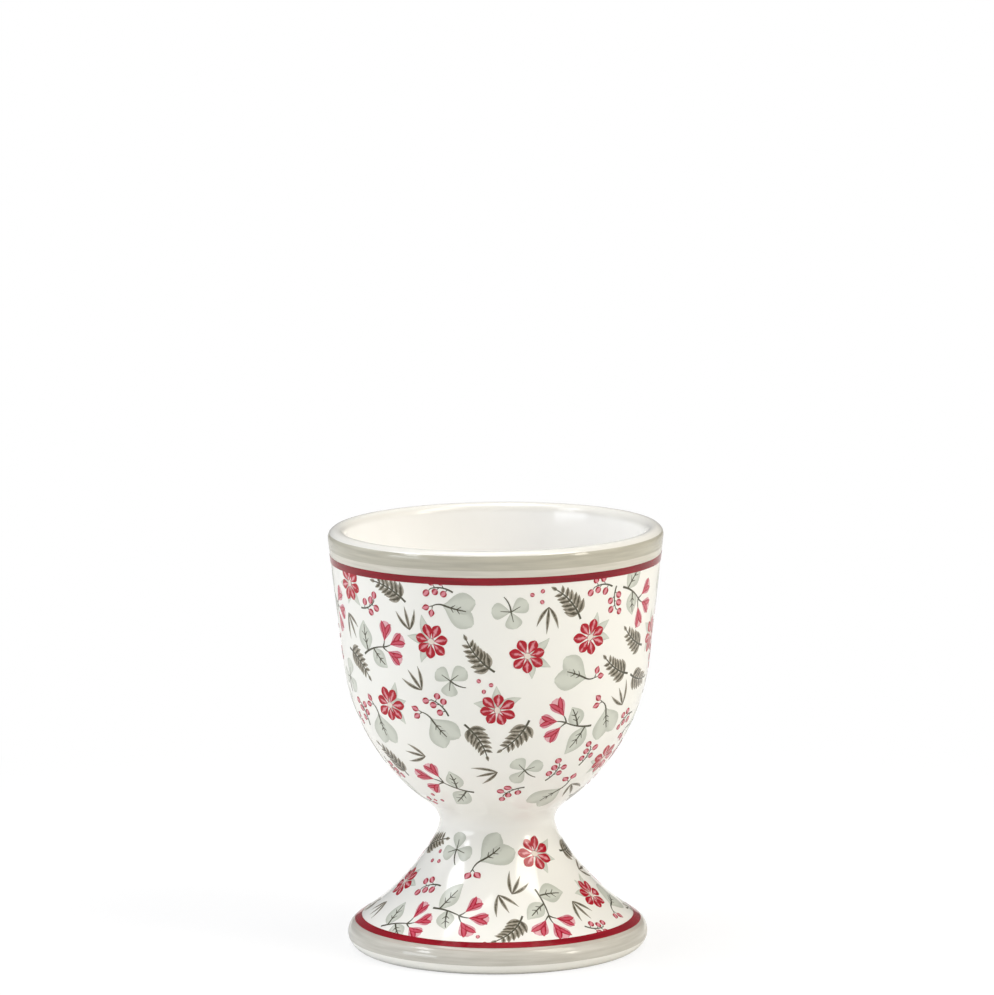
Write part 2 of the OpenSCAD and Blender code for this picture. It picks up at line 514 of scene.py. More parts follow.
@dataclass(frozen=True)
class BareBiscuit:
    """Bare fired clay of the standing ring, wiped free of glaze before the firing.

    It gives the eye a dry, matt and finely pitted cream.
    """

    name: str = "bare biscuit ware"
    clay: str = "EFEAE0"
    worn: str = "DAD3C6"
    grit: float = 0.25  # width of a grain, in mm: coarser than the real one, so that it shows
    pit_depth: float = 0.03  # in mm
    pit_share: float = 0.5  # share of that depth that shades the face
    roughness: float = 0.85

    def material(self) -> Material:
        """Gritty clay.

        Returns:
            The material. Clean and worn clay mix by a noise as fine as the grit, which also gives
            the bump.
        """
        material, tree = new_tree(self.name)
        coords = add_node(tree, "TexCoord").outputs["Object"]
        grit = add_node(tree, "TexNoise", {"Vector": coords, "Scale": per_mm(self.grit), "Detail": 5.0})
        tones = {MIX_A: linear(self.clay), MIX_B: linear(self.worn)}
        mix = add_node(tree, "Mix", {"Factor": grit.outputs["Fac"], **tones}, data_type="RGBA")
        depth = {"Strength": self.pit_share, "Distance": self.pit_depth * MM}
        bump = add_node(tree, "Bump", {"Height": grit.outputs["Fac"], **depth})
        shader = add_node(
            tree,
            "BsdfPrincipled",
            {
                "Base Color": mix.outputs[MIX_OUT],
                "Roughness": self.roughness,
                "Normal": bump.outputs["Normal"],
            },
        )
        add_node(tree, "OutputMaterial", {"Surface": shader.outputs["BSDF"]})
        return material


@dataclass(frozen=True)
class BandedGlaze:
    """Coloured glaze laid on with a brush while the cup turned on a banding wheel.

    It gives the eye level streaks of thicker and thinner colour.
    """

    name: str
    thick: str
    thin: str
    streak: float = 0.45  # height of a streak, in mm
    stretch: float = 0.06  # a streak's height as a share of its length
    thin_from: float = 0.35  # value of the noise at which the colour starts to thin
    thin_full: float = 0.65  # value at which it is thinnest
    glaze: ClearGlaze = ClearGlaze()

    def material(self) -> Material:
        """Streaky colour under clear glaze.

        Returns:
            The material. Thick and thin colour mix by a noise that is drawn out level.
        """
        material, tree = new_tree(self.name)
        coords = add_node(tree, "TexCoord").outputs["Object"]
        squeeze = add_node(tree, "Mapping", {"Vector": coords, "Scale": (self.stretch, self.stretch, 1.0)})
        across = squeeze.outputs["Vector"]
        streaks = add_node(tree, "TexNoise", {"Vector": across, "Scale": per_mm(self.streak), "Detail": 3.0})
        span = {"From Min": self.thin_from, "From Max": self.thin_full}
        level = add_node(tree, "MapRange", {"Value": streaks.outputs["Fac"], **span})
        tones = {MIX_A: linear(self.thick), MIX_B: linear(self.thin)}
        mix = add_node(tree, "Mix", {"Factor": level.outputs["Result"], **tones}, data_type="RGBA")
        self.glaze.dress(tree, mix.outputs[MIX_OUT], coords)
        return material


@dataclass(frozen=True)
class TransferInk:
    """Ceramic ink, screen printed on transfer film and fired into the glaze.

    It gives the eye marks that are deeper at one place and washed out at another, with a fine
    grain.
    """

    name: str
    edge: str
    heart: str
    along: float = 0.0  # how much the way up the mark counts against the way off its middle line
    cut: float = 0.5  # the sum at which the heart's colour gives way to the edge's
    blur: float = 0.35  # half the width of that change
    grain: float = 0.5  # width of the grain, in mm: a screen's dots are finer and wouldn't show
    grain_share: float = 0.35  # how much the grain moves the sum
    glaze: ClearGlaze = ClearGlaze(ripple_depth=0.006, shine=0.32)

    def material(self) -> Material:
        """Mix of edge and heart colour by the place on the mark, under clear glaze.

        Returns:
            The material. The mix is a smooth step on the distance from the mark's middle line,
            plus a share of the way up the mark, plus a share of a fine noise.
        """
        material, tree = new_tree(self.name)
        coords = add_node(tree, "TexCoord").outputs["Object"]
        place = add_node(tree, "UVMap", uv_map=PRINT_MAP).outputs["UV"]
        split = add_node(tree, "SeparateXYZ", {"Vector": place}).outputs
        # The print map runs from 0 to 1 across a mark, so its middle line lies at a half.
        side = add_node(tree, "Math", {0: split["Y"], 1: 2.0, 2: -1.0}, operation="MULTIPLY_ADD")
        off = add_node(tree, "Math", {0: side.outputs[0]}, operation="ABSOLUTE").outputs[0]
        high = add_node(tree, "Math", {0: split["X"], 1: self.along, 2: off}, operation="MULTIPLY_ADD")
        noise = add_node(tree, "TexNoise", {"Vector": coords, "Scale": per_mm(self.grain), "Detail": 3.0})
        grain = add_node(tree, "Math", {0: noise.outputs["Fac"], 1: 0.5}, operation="SUBTRACT")
        inputs = {0: grain.outputs[0], 1: self.grain_share * 2, 2: high.outputs[0]}
        total = add_node(tree, "Math", inputs, operation="MULTIPLY_ADD").outputs[0]
        span = {"From Min": self.cut - self.blur, "From Max": self.cut + self.blur}
        step = add_node(tree, "MapRange", {"Value": total, **span}, interpolation_type="SMOOTHSTEP")
        tones = {MIX_A: linear(self.heart), MIX_B: linear(self.edge)}
        mix = add_node(tree, "Mix", {"Factor": step.outputs["Result"], **tones}, data_type="RGBA")
        self.glaze.dress(tree, mix.outputs[MIX_OUT], coords)
        return material


class Mark(Enum):
    """Kinds of printed mark, in the order in which they are laid."""

    BLUSH = "blush"
    SAGE_LEAF = "sage_leaf"
    FERN_LEAF = "fern_leaf"
    STEM = "stem"
    BELL = "bell"
    PETAL = "petal"
    BERRY = "berry"
    EYE = "eye"

    @property
    def lift(self) -> float:
        """Height of the mark's face over the glaze, in mm: each kind lies over the one before."""
        return FIRST_FILM + NEXT_FILM * list(Mark).index(self)

    @property
    def slot(self) -> str:
        """The record's slot: the greens and greys take the grey glaze, the rest the red enamel."""
        return "grey_glaze" if self in (Mark.SAGE_LEAF, Mark.FERN_LEAF, Mark.STEM) else "red_enamel"


@dataclass(frozen=True)
class Stroke:
    """One printed mark laid out flat: a middle line in mm and the half width along it."""

    line: np.ndarray
    half: np.ndarray

    STEPS: ClassVar[int] = 10

    @classmethod
    def blade(
        cls,
        start: tuple[float, float],
        heading: float,
        length: float,
        width: float,
        shape: Callable[[np.ndarray], np.ndarray],
        bend: float = 0.0,
    ) -> "Stroke":
        """A petal, leaf, dot or stem that grows from a point.

        Args:
            start: where it starts, across and up, in mm.
            heading: direction at the middle of its length, in radians from level.
            length: length of its middle line, in mm.
            width: greatest width, in mm.
            shape: share of the width at each share of the length.
            bend: turn of the middle line from end to end, in radians.

        Returns:
            The stroke. Its line turns at a steady rate, as part of a circle does.
        """
        u = np.linspace(0.0, 1.0, cls.STEPS)
        turn = heading + bend * (u - 0.5)
        steps = unit((turn[1:] + turn[:-1]) / 2) * length / (cls.STEPS - 1)
        line = np.concatenate([[start], np.asarray(start) + np.cumsum(steps, axis=0)])
        return cls(line, width / 2 * shape(u))

    def turned(self, turn: float) -> "Stroke":
        """The stroke turned about the motif's middle by an angle in radians."""
        c, s = math.cos(turn), math.sin(turn)
        return Stroke(self.line @ np.array([[c, s], [-s, c]]), self.half)

    def scaled(self, size: float) -> "Stroke":
        """The stroke made larger about the motif's middle."""
        return Stroke(self.line * size, self.half * size)

    def point(self, share: float) -> tuple[float, float]:
        """The middle line's point at a share of its length."""
        u = np.linspace(0.0, 1.0, self.STEPS)
        return tuple(float(np.interp(share, u, column)) for column in self.line.T)

    @property
    def end(self) -> tuple[float, float]:
        """Where the middle line ends."""
        return self.point(1.0)

    @staticmethod
    def sides(line: np.ndarray) -> np.ndarray:
        """Unit normals of middle lines.

        Args:
            line: (..., steps, 2) array of points.

        Returns:
            An array of the same shape: the slope at each point, turned a quarter to the left.
        """
        slope = np.gradient(line, axis=-2)
        slope /= np.linalg.norm(slope, axis=-1, keepdims=True)
        return np.stack([-slope[..., 1], slope[..., 0]], -1)

    @classmethod
    def spots(cls, strokes: list["Stroke"], steps: int, across: int, margin: float) -> np.ndarray:
        """Places all over some strokes.

        Args:
            strokes: the strokes.
            steps: how many rows of places along each.
            across: how many places in each row.
            margin: how far the outer places stand off a stroke's edge, in mm.

        Returns:
            An (n, 2) array, found as the shells' points are, with lines and widths read off at
            even steps.
        """
        at = np.linspace(0, cls.STEPS - 1, steps)
        low = np.minimum(at.astype(int), cls.STEPS - 2)
        part = (at - low)[:, None]
        line = np.stack([stroke.line for stroke in strokes])
        half = np.stack([stroke.half for stroke in strokes])[..., None]
        line = line[:, low] * (1 - part) + line[:, low + 1] * part
        half = half[:, low] * (1 - part) + half[:, low + 1] * part + margin
        share = np.linspace(-1.0, 1.0, across)[:, None]
        return (line[:, :, None] + share * (half * cls.sides(line))[:, :, None]).reshape(-1, 2)


def leaf_shape(u: np.ndarray) -> np.ndarray:
    """Half width of a pointed leaf: the sine of pi times u to the power 0.85."""
    return np.sin(math.pi * np.clip(u, 0.02, 0.98) ** 0.85)


def petal_shape(u: np.ndarray) -> np.ndarray:
    """Half width of a round-tipped petal: the sine of pi times u to the 1.5, to the 0.65."""
    return np.sin(math.pi * np.clip(u, 0.05, 0.985) ** 1.5) ** 0.65


def round_shape(u: np.ndarray) -> np.ndarray:
    """Half width of a disc: the square root of 1 less the square of the way from its middle."""
    return np.sqrt(1 - (2 * np.clip(u, 0.01, 0.99) - 1) ** 2)


def heart_shape(u: np.ndarray) -> np.ndarray:
    """Half width of a broad-tipped leaflet: the sine of pi times u to the 1.9, to the 0.55."""
    return np.sin(math.pi * np.clip(u, 0.03, 0.985) ** 1.9) ** 0.55


def stem_shape(u: np.ndarray) -> np.ndarray:
    """Half width of a stem: 1 less half of u, so that it thins to half at its tip."""
    return 1 - 0.5 * u


class Drawing(list[tuple[Mark, Stroke]]):
    """A motif: its marks in the order in which they are drawn."""

    def add(self, mark: Mark, stroke: Stroke) -> Stroke:
        """Adds a stroke as one kind of mark, and gives it back."""
        self.append((mark, stroke))
        return stroke


Motif = Callable[[], Drawing]


@dataclass
class Posy:
    """Draws the small motifs of the transfer, with up towards the lip.

    Sizes are in mm, most as a blade's length and greatest width, and turns are in radians.
    """

    dice: np.random.Generator
    petals: int = 7
    petal: tuple[float, float] = (1.95, 1.36)
    petal_start: float = 0.45  # from the daisy's middle
    eye: tuple[float, float] = (0.92, 0.92)
    calyx_leaf: tuple[float, float] = (3.5, 1.35)
    stalk: tuple[float, float] = (4.4, 0.3)
    broad_leaf: tuple[float, float] = (4.7, 3.3)
    bell_blush: tuple[float, float] = (2.7, 2.1)
    bell_petal_width: float = 0.72
    bell_tongue_width: float = 0.62
    heart_lobe: tuple[float, float] = (4.4, 3.0)
    bud: tuple[float, float] = (1.1, 0.85)
    frond: tuple[float, float] = (5.6, 0.3)
    frond_pairs: int = 6
    frond_leaflet: float = 2.35  # length of the lowest
    frond_tip: tuple[float, float] = (1.0, 0.5)
    clover_leaflet: tuple[float, float] = (2.4, 2.3)
    clover_stem: tuple[float, float] = (2.3, 0.22)
    berry: tuple[float, float] = (0.95, 0.92)
    berry_count: int = 5
    berry_twig: float = 3.2
    grass_blade: tuple[float, float] = (3.3, 0.5)
    seed: tuple[float, float] = (0.6, 0.56)
    rib_width: float = 0.27
    twig_width: float = 0.24
    vein_width: float = 0.16
    hair_width: float = 0.15  # of the short stalks of buds and berries

    def vary(self, value: float, share: float = 0.12) -> float:
        """The value, a little larger or smaller by chance."""
        return value * (1 + share * (2 * self.dice.random() - 1))

    def daisy(self) -> Drawing:
        """Seven loose petals round a small eye, over three pale leaves.

        Returns:
            The marks. Petals stand at about equal turns from each other, each at a small distance
            from the middle.
        """
        marks = Drawing()
        long, wide = self.calyx_leaf
        for side in (-1, 0, 1):
            heading = DOWN + side * self.vary(1.0, 0.3)
            leaf = Stroke.blade((0, 0), heading, self.vary(long), wide, leaf_shape, 0.5 * side)
            marks.add(Mark.SAGE_LEAF, leaf)
        long, wide = self.petal
        for k in range(self.petals):
            heading = math.tau * (k + 0.14 * self.dice.random()) / self.petals
            foot = tuple(self.petal_start * unit(heading))
            marks.add(Mark.PETAL, Stroke.blade(foot, heading, self.vary(long, 0.1), wide, petal_shape))
        marks.add(Mark.EYE, Stroke.blade((0, -self.eye[0] / 2), UP, *self.eye, round_shape))
        return marks

    def bellflowers(self) -> Drawing:
        """Three bells on a bent stalk, over two broad pale leaves with a dark rib.

        Returns:
            The marks, with the bells on short twigs that fan out from the stalk's end. The upper
            leaf is smaller than the lower.
        """
        marks = Drawing()
        stalk = Stroke.blade((-0.5, -3.7), math.radians(82), *self.stalk, stem_shape, -0.5)
        marks.add(Mark.STEM, stalk)
        long, wide = self.broad_leaf
        for side, low, size in ((-1, 0.25, 0.92), (1, 0.55, 0.74)):
            at = stalk.point(low)
            heading = UP - side * self.vary(1.2, 0.12)
            leaf = Stroke.blade(at, heading, self.vary(long * size), wide * size, leaf_shape, 0.4 * side)
            marks.add(Mark.SAGE_LEAF, leaf)
            marks += self.ribs(at, heading, 3.9 * size, 0.3 * side)
        for heading, length in ((2.3, 1.0), (1.4, 1.3), (0.5, 1.1)):
            twig = Stroke.blade(stalk.end, heading, self.vary(length), self.twig_width, stem_shape, 0.4)
            marks.add(Mark.STEM, twig)
            marks += self.bell(twig.end, heading + 0.15)
        return marks

    def bell(self, foot: tuple[float, float], heading: float) -> Drawing:
        """One bell.

        Args:
            foot: where it hangs.
            heading: where its mouth points.

        Returns:
            The marks: a blush behind, two bent outer petals and a tongue of half their length.
        """
        marks = Drawing()
        long, wide = self.bell_blush
        length = self.vary(long, 0.08)
        marks.add(Mark.BLUSH, Stroke.blade(foot, heading, length, wide, heart_shape))
        for side in (-1, 1):
            lean = heading + 0.3 * side
            petal = Stroke.blade(foot, lean, length, self.bell_petal_width, petal_shape, 0.6 * side)
            marks.add(Mark.BELL, petal)
        tongue = Stroke.blade(foot, heading, 0.5 * length, self.bell_tongue_width, petal_shape)
        marks.add(Mark.BELL, tongue)
        return marks

    def ribs(self, foot: tuple[float, float], heading: float, length: float, bend: float) -> Drawing:
        """The dark rib of a leaf.

        Args:
            foot: where the rib starts.
            heading: its direction at the middle of its length.
            length: its length.
            bend: its turn from end to end.

        Returns:
            The marks: the rib, and two pairs of fine side veins, each a quarter as long.
        """
        marks = Drawing()
        rib = marks.add(
            Mark.STEM, Stroke.blade(foot, heading, length, self.rib_width, stem_shape, bend)
        )
        for share in (0.3, 0.58):
            along = heading + bend * (share - 0.5)
            for side in (-1, 1):
                at = rib.point(share)
                vein = Stroke.blade(at, along + 0.8 * side, 0.24 * length, self.vein_width, stem_shape)
                marks.add(Mark.STEM, vein)
        return marks

    def heart_leaf(self) -> Drawing:
        """A wide pale heart-shaped leaf on a short stem, with dark ribs and two red buds.

        Returns:
            The marks. The heart is two ovals from one foot, leaning apart.
        """
        marks = Drawing()
        long, wide = self.heart_lobe
        for side in (-1, 1):
            lobe = Stroke.blade((0, -2.3), UP + 0.36 * side, self.vary(long, 0.06), wide, petal_shape)
            marks.add(Mark.SAGE_LEAF, lobe)
        foot = (0, -2.2)
        marks += self.ribs(foot, UP, 3.0, 0.2)
        stem = Stroke.blade(foot, DOWN + 0.3, 1.7, self.twig_width, stem_shape, 0.9)
        marks.add(Mark.STEM, stem)
        for turn in (-0.5, 0.6):
            heading = DOWN + 1.0 + turn
            stalk = Stroke.blade(stem.end, heading, 0.5, self.hair_width, stem_shape)
            marks.add(Mark.STEM, stalk)
            marks.add(Mark.BERRY, Stroke.blade(stalk.end, heading, *self.bud, leaf_shape))
        return marks

    def fern(self) -> Drawing:
        """A bent frond with pairs of leaflets.

        Returns:
            The marks. The leaflets' length falls with the way up the frond, and one ends it.
        """
        marks = Drawing()
        bend = 0.6 * (1 if self.dice.random() < 0.5 else -1)
        frond = marks.add(Mark.STEM, Stroke.blade((0, -3.0), UP, *self.frond, stem_shape, bend))
        for k in range(self.frond_pairs):
            share = 0.16 + 0.8 * k / self.frond_pairs
            along = UP + bend * (share - 0.5)
            length = self.frond_leaflet * (1 - 0.6 * share)
            for side in (-1, 1):
                heading = along - side * self.vary(0.85, 0.1)
                at = frond.point(share)
                leaflet = Stroke.blade(at, heading, length, 0.46 * length, leaf_shape, 0.3 * side)
                marks.add(Mark.FERN_LEAF, leaflet)
        marks.add(Mark.FERN_LEAF, Stroke.blade(frond.end, UP + bend / 2, *self.frond_tip, leaf_shape))
        return marks

    def clover(self) -> Drawing:
        """Three pale broad-tipped leaflets, each with a fine rib, on a short bent stem.

        Returns:
            The marks.
        """
        marks = Drawing()
        long, wide = self.clover_leaflet
        marks.add(Mark.STEM, Stroke.blade((0, 0), DOWN + 0.2, *self.clover_stem, stem_shape, 0.7))
        for k in (-1, 0, 1):
            heading = UP + k * self.vary(1.95, 0.05)
            marks.add(Mark.SAGE_LEAF, Stroke.blade((0, 0), heading, self.vary(long), wide, heart_shape))
            marks.add(Mark.STEM, Stroke.blade((0, 0), heading, 1.4, self.vein_width, stem_shape))
        return marks

    def berries(self) -> Drawing:
        """A fine bent twig with five red berries on short stalks.

        Returns:
            The marks. The stalks leave the twig at equal steps, on alternate sides.
        """
        marks = Drawing()
        long, wide = self.berry
        twig = Stroke.blade((0, -1.7), UP, self.berry_twig, self.twig_width, stem_shape, 0.9)
        marks.add(Mark.STEM, twig)
        for k in range(self.berry_count):
            heading = UP + (-1) ** k * self.vary(1.0, 0.15)
            at = twig.point(0.25 + 0.75 * k / (self.berry_count - 1))
            stalk = marks.add(Mark.STEM, Stroke.blade(at, heading, 0.42, self.hair_width, stem_shape))
            berry = Stroke.blade(stalk.end, heading, self.vary(long), wide, round_shape)
            marks.add(Mark.BERRY, berry)
        return marks

    def grass(self) -> Drawing:
        """Three fine blades that fan out from one foot.

        Returns:
            The marks.
        """
        marks = Drawing()
        long, wide = self.grass_blade
        for k in (-1, 0, 1):
            blade = Stroke.blade((0, -1.7), UP + 0.5 * k, self.vary(long), wide, leaf_shape, -0.5 * k)
            marks.add(Mark.FERN_LEAF, blade)
        return marks

    def seeds(self) -> Drawing:
        """Three loose dots.

        Returns:
            The marks.
        """
        marks = Drawing()
        for k in range(3):
            heading = math.tau * k / 3 + self.vary(0.5, 0.5)
            at = tuple(self.seed[0] * unit(heading))
            marks.add(Mark.BERRY, Stroke.blade(at, heading, *self.seed, round_shape))
        return marks


@dataclass
class Room:
    """Which of a stretch of the face's square cells are printed on. Sizes are in mm."""

    face: Face
    low: float  # where the stretch starts, along the face
    high: float  # where it ends
    cell: float = 0.26  # side of a cell

    def __post_init__(self) -> None:
        """Rules each row into as many cells as go round it there."""
        rows = math.ceil((self.high - self.low) / self.cell)
        radius, _ = self.face.at(self.low + (np.arange(rows) + 0.5) * self.cell)
        self.columns = np.floor(math.tau * radius / self.cell).astype(int)
        self.taken = np.zeros((rows, self.columns.max()), bool)

    def cells(self, up: np.ndarray, angle: np.ndarray) -> tuple[np.ndarray, np.ndarray]:
        """Finds the cells of places.

        Args:
            up: distances along the face.
            angle: angles round the axis.

        Returns:
            Row and column: the share of the way up, and of the way round, rounded down.
        """
        row = np.clip(((up - self.low) / self.cell).astype(int), 0, len(self.columns) - 1)
        column = (np.mod(angle / math.tau, 1.0) * self.columns[row]).astype(int)
        return row, np.minimum(column, self.columns[row] - 1)


@dataclass
class Laid:
    """A motif in its place."""

    drawing: Drawing
    along: float  # distance of its middle along the face
    angle: float  # angle of its middle


@dataclass
class Transfer:
    """The flower transfer on one face of the cup, trimmed under the red line at one side."""

    name: str
    form: CupForm
    face: Face
    low: float  # where it starts along the face, in mm
    high: float  # where it ends
    line_above: bool  # True if the red line is at its upper edge
    seed: int

    SINK: ClassVar[float] = 0.06  # how deep a mark's underside lies in the glaze
    ACROSS: ClassVar[int] = 5  # points across a mark
    TRIES: ClassVar[int] = 90  # chance places for each motif
    GAP: ClassVar[float] = 0.3  # bare space round a motif
    OVERRUN: ClassVar[float] = 1.6  # how far a motif may run past the red line, which trims it
    TUCK: ClassVar[float] = 0.8  # how far what runs past it goes under the line
    SCALE: ClassVar[float] = 1.12  # size of the motifs against their drawings
    STEPS: ClassVar[int] = 400  # points along the face for its area
    COARSE: ClassVar[tuple[int, int]] = (10, 3)  # places along and across a mark in the search
    FINE: ClassVar[tuple[int, int]] = (30, 11)  # the same where a mark takes its room
    LAYERS: ClassVar[int] = 5  # marks of a kind lie at this many heights, where they cross
    LAYER: ClassVar[float] = 0.0006  # from one of these heights to the next
    FAR: ClassVar[tuple[float, float, float]] = (0.0, 0.0, -100.0)  # a place far from all others

    def __post_init__(self) -> None:
        """Loads the dice and the motifs, with how many go on each square centimetre."""
        self.dice = np.random.default_rng(self.seed)
        posy = Posy(self.dice)
        flowers = {posy.bellflowers: 0.42, posy.heart_leaf: 0.36, posy.daisy: 0.42}
        leaves = {posy.fern: 0.42, posy.clover: 0.16}
        self.tiers: tuple[dict[Motif, float], ...] = (
            {**flowers, **leaves},
            {posy.berries: 0.46, posy.grass: 0.46},
            {posy.seeds: 0.22},
        )

    def on_face(
        self, flat: np.ndarray, along: np.ndarray, angle: np.ndarray
    ) -> tuple[np.ndarray, np.ndarray]:
        """Carries flat places of a motif onto the face.

        Args:
            flat: (..., 2) places across and up from the motif's middle, in mm.
            along: distance of the middle along the face.
            angle: angle of the middle.

        Returns:
            Distance along the face and angle. The angle grows by the way across over the radius.
            What runs over the edge by d ends TUCK times (1 less e to the power -d / TUCK) past it,
            which is under the red line.
        """
        radius, _ = self.face.at(along)
        up = along + flat[..., 1]
        side, edge = (1, self.high) if self.line_above else (-1, self.low)
        over = np.maximum(side * (up - edge), 0.0)
        tucked = up - side * (over - self.TUCK * (1 - np.exp(-over / self.TUCK)))
        return tucked, angle + flat[..., 0] / radius

    def tries(self, count: int) -> tuple[np.ndarray, np.ndarray]:
        """Draws chance places, even by area.

        Args:
            count: how many.

        Returns:
            Distances along the face, drawn from the running sum of the radius, and angles.
        """
        along = np.linspace(self.low, self.high, self.STEPS)
        weight = np.cumsum(self.face.at(along)[0])
        drawn = np.interp(self.dice.random(count) * weight[-1], weight, along)
        return drawn, self.dice.random(count) * math.tau

    def area(self) -> float:
        """Area of the stretch in square centimetres: 2 pi times the radius, summed along it."""
        along = np.linspace(self.low, self.high, self.STEPS)
        return float(math.tau * self.face.at(along)[0].mean() * (self.high - self.low) / 100)

    def queue(self) -> list[Motif]:
        """Every motif to lay.

        Returns:
            The drawing methods, the large motifs' first, and each tier in chance order.
        """
        area = self.area()
        order: list[Motif] = []
        for tier in self.tiers:
            kinds = [draw for draw, per_cm2 in tier.items() for _ in range(round(per_cm2 * area))]
            order += [kinds[k] for k in self.dice.permutation(len(kinds))]
        return order

    def scatter(self) -> list[Laid]:
        """Finds a free place for each motif.

        Returns:
            The motifs in their places. Of many chance places and turns, a motif takes the free one
            that is farthest from others of its kind, so that all kinds mix evenly.
        """
        room = Room(self.face, self.low, self.high)
        laid: list[Laid] = []
        kin: dict[Motif, list[np.ndarray]] = {}
        # A motif may run on past the red line, and stays clear of the stretch's other end.
        reach = self.OVERRUN, -self.GAP
        for draw in self.queue():
            drawing = Drawing((mark, stroke.scaled(self.SCALE)) for mark, stroke in draw())
            along, angle = self.tries(self.TRIES)
            turn = self.dice.random(self.TRIES) * math.tau
            spots = Stroke.spots([stroke for _, stroke in drawing], *self.COARSE, self.GAP)
            c, s = np.cos(turn)[:, None], np.sin(turn)[:, None]
            flat = np.stack([c * spots[:, 0] - s * spots[:, 1], s * spots[:, 0] + c * spots[:, 1]], -1)
            top = (along[:, None] + flat[..., 1]).max(1) - self.high
            bottom = self.low - (along[:, None] + flat[..., 1]).min(1)
            above, below = reach if self.line_above else reach[::-1]
            up, round_at = self.on_face(flat, along[:, None], angle[:, None])
            free = ~room.taken[room.cells(up, round_at)].any(1) & (top < above) & (bottom < below)
            if not free.any():
                continue
            middles = turned(*self.face.at(along), angle)
            others = np.array(kin.setdefault(draw, []) or [self.FAR])
            apart = np.linalg.norm(middles[:, None] - others[None], axis=-1).min(1)
            best = int(np.argmax(np.where(free, apart, -1.0)))
            kin[draw].append(middles[best])
            placed = Drawing((mark, stroke.turned(turn[best])) for mark, stroke in drawing)
            dense = Stroke.spots([stroke for _, stroke in placed], *self.FINE, 0.0)
            room.taken[room.cells(*self.on_face(dense, along[best], angle[best]))] = True
            laid.append(Laid(placed, along[best], angle[best]))
        log.info("%s: %d motifs, %d%% covered", self.name, len(laid), self._covered(room))
        return laid

    def _covered(self, room: Room) -> int:
        """Share of the stretch that is printed on, in per cent."""
        return round(100 * room.taken.sum() / room.columns.sum())

    def shells(
        self, marks: list[tuple[Stroke, Laid]], lift: float
    ) -> tuple[np.ndarray, list, np.ndarray]:
        """Turns flat strokes into closed shells on the cup.

        Args:
            marks: strokes, each with the motif that it belongs to.
            lift: height of their faces over the glaze, in mm.

        Returns:
            Points, faces and print-map places. A point of a stroke is its middle line plus a share
            of the half width along the line's normal. The loop round each section closes below the
            glaze, and each end closes with one face.
        """
        line = np.stack([stroke.line for stroke, _ in marks])
        half = np.stack([stroke.half for stroke, _ in marks])
        along = np.array([motif.along for _, motif in marks])[:, None, None]
        angle = np.array([motif.angle for _, motif in marks])[:, None, None]
        share = np.concatenate([np.linspace(-1.0, 1.0, self.ACROSS), [1.0, -1.0]])
        high = np.concatenate([np.full(self.ACROSS, 1.0), [0.0, 0.0]])
        layer = lift + self.LAYER * (np.arange(len(marks)) % self.LAYERS)[:, None, None]
        aside = half[..., None, None] * Stroke.sides(line)[:, :, None]
        flat = line[:, :, None] + share[:, None] * aside
        up, round_at = self.on_face(flat, along, angle)
        r, z = self.face.at(up, high * layer - (1 - high) * self.SINK)
        points = self.form.hand(turned(r, z, round_at))
        count, steps, loop = points.shape[:3]
        starts = np.arange(count)[:, None, None] * steps * loop
        first = np.arange(loop)
        ends = np.stack([first, first[::-1] + (steps - 1) * loop])
        faces = (grid_quads(steps, loop)[None, :, ::-1] + starts).reshape(-1, 4).tolist()
        faces += (ends[None] + starts).reshape(-1, loop).tolist()
        uv = np.empty((count, steps, loop, 2))
        uv[..., 0] = np.linspace(0, 1, steps)[None, :, None]
        uv[..., 1] = (share + 1) / 2
        return points.reshape(-1, 3), faces, uv.reshape(-1, 2)

    def build(self, inks: dict[Mark, Material]) -> None:
        """Makes one piece for each kind of mark.

        Args:
            inks: the material of each kind of mark.
        """
        drawn: dict[Mark, list[tuple[Stroke, Laid]]] = {mark: [] for mark in Mark}
        for motif in self.scatter():
            for mark, stroke in motif.drawing:
                drawn[mark].append((stroke, motif))
        for mark, marks in drawn.items():
            points, faces, uv = self.shells(marks, mark.lift)
            Piece(f"{self.name}_{mark.value}", points, faces, inks[mark], mark.slot, uv=uv).build()


